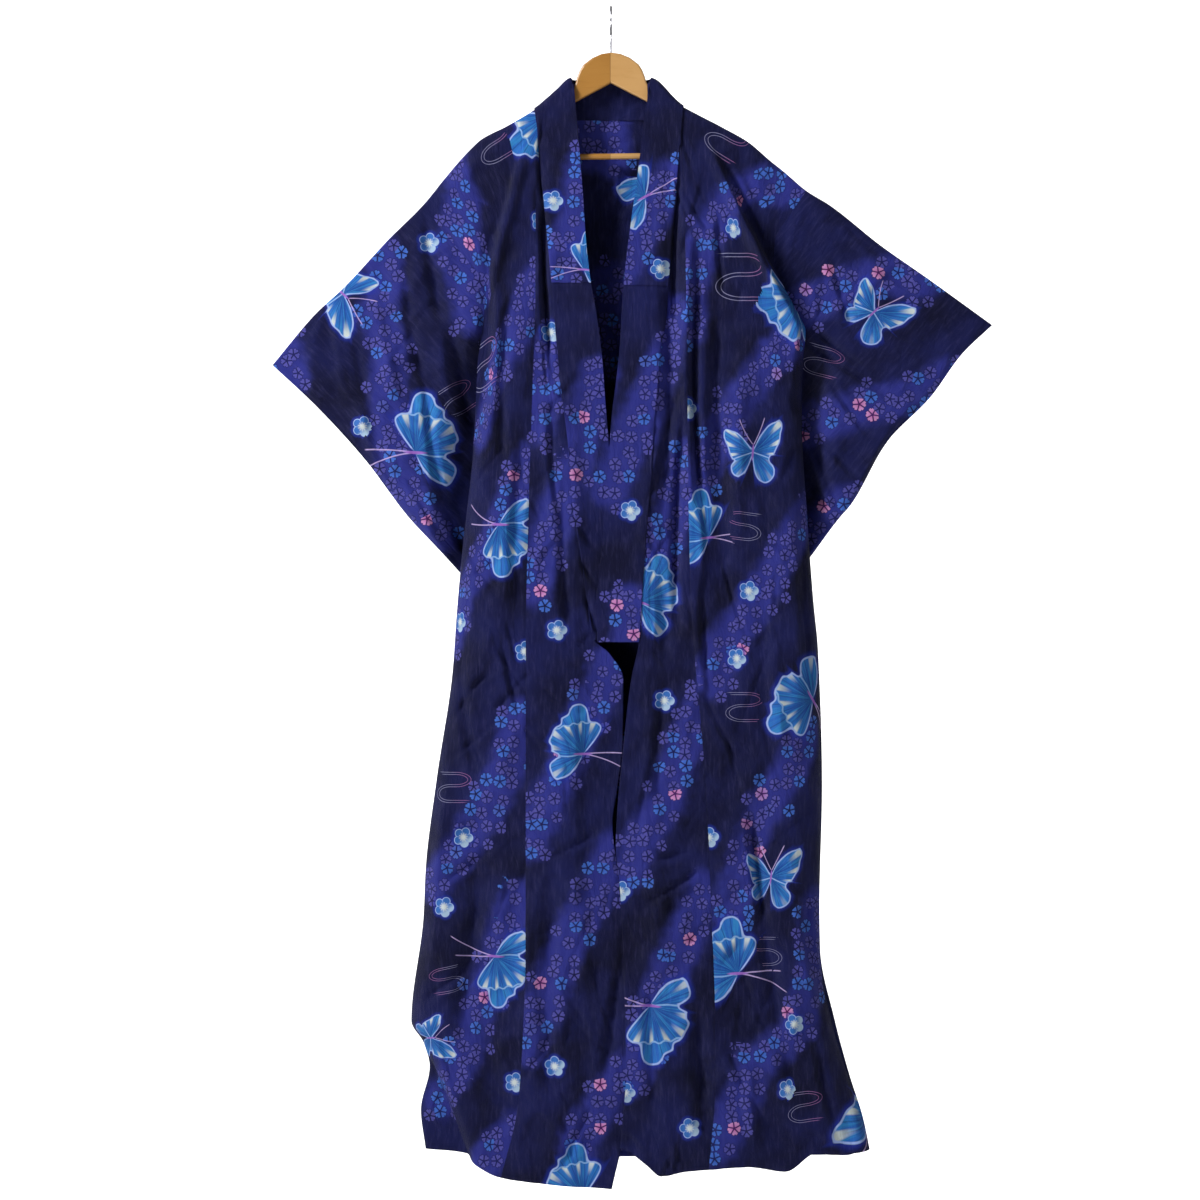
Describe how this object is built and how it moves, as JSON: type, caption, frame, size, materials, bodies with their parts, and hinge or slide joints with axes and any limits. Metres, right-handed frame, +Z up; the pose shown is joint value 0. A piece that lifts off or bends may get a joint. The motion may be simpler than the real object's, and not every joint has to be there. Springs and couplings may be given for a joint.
{
  "type": "kimono robe on hanger",
  "caption": "Unlined cotton kimono robe with a long collar and square sleeves, hanging open at the front on a wooden hanger with a wire hook.",
  "frame": {"origin": "inside the top of the hanger's hook, where a rail bears", "axes": "+Z up, the robe's front faces -Y, +X is the wearer's left"},
  "size_m": [1.0617, 0.1081, 1.7394],
  "materials": {
    "cotton": "matt printed plain-weave cotton, softly crumpled",
    "collar_cotton": "matt printed plain-weave cotton, folded and pressed",
    "honey_wood": "clear varnish",
    "steel": "plated wire"
  },
  "bodies": {
    "root": {"body_left": "cotton", "body_right": "cotton", "okumi_left": "cotton", "okumi_right": "cotton", "collar": "collar_cotton", "over_collar": "collar_cotton", "sleeve_left": "cotton", "sleeve_right": "cotton", "hanger_wood": "honey_wood", "hanger_bar": "honey_wood", "hanger_hook": "steel"}
  },
  "joints": []
}
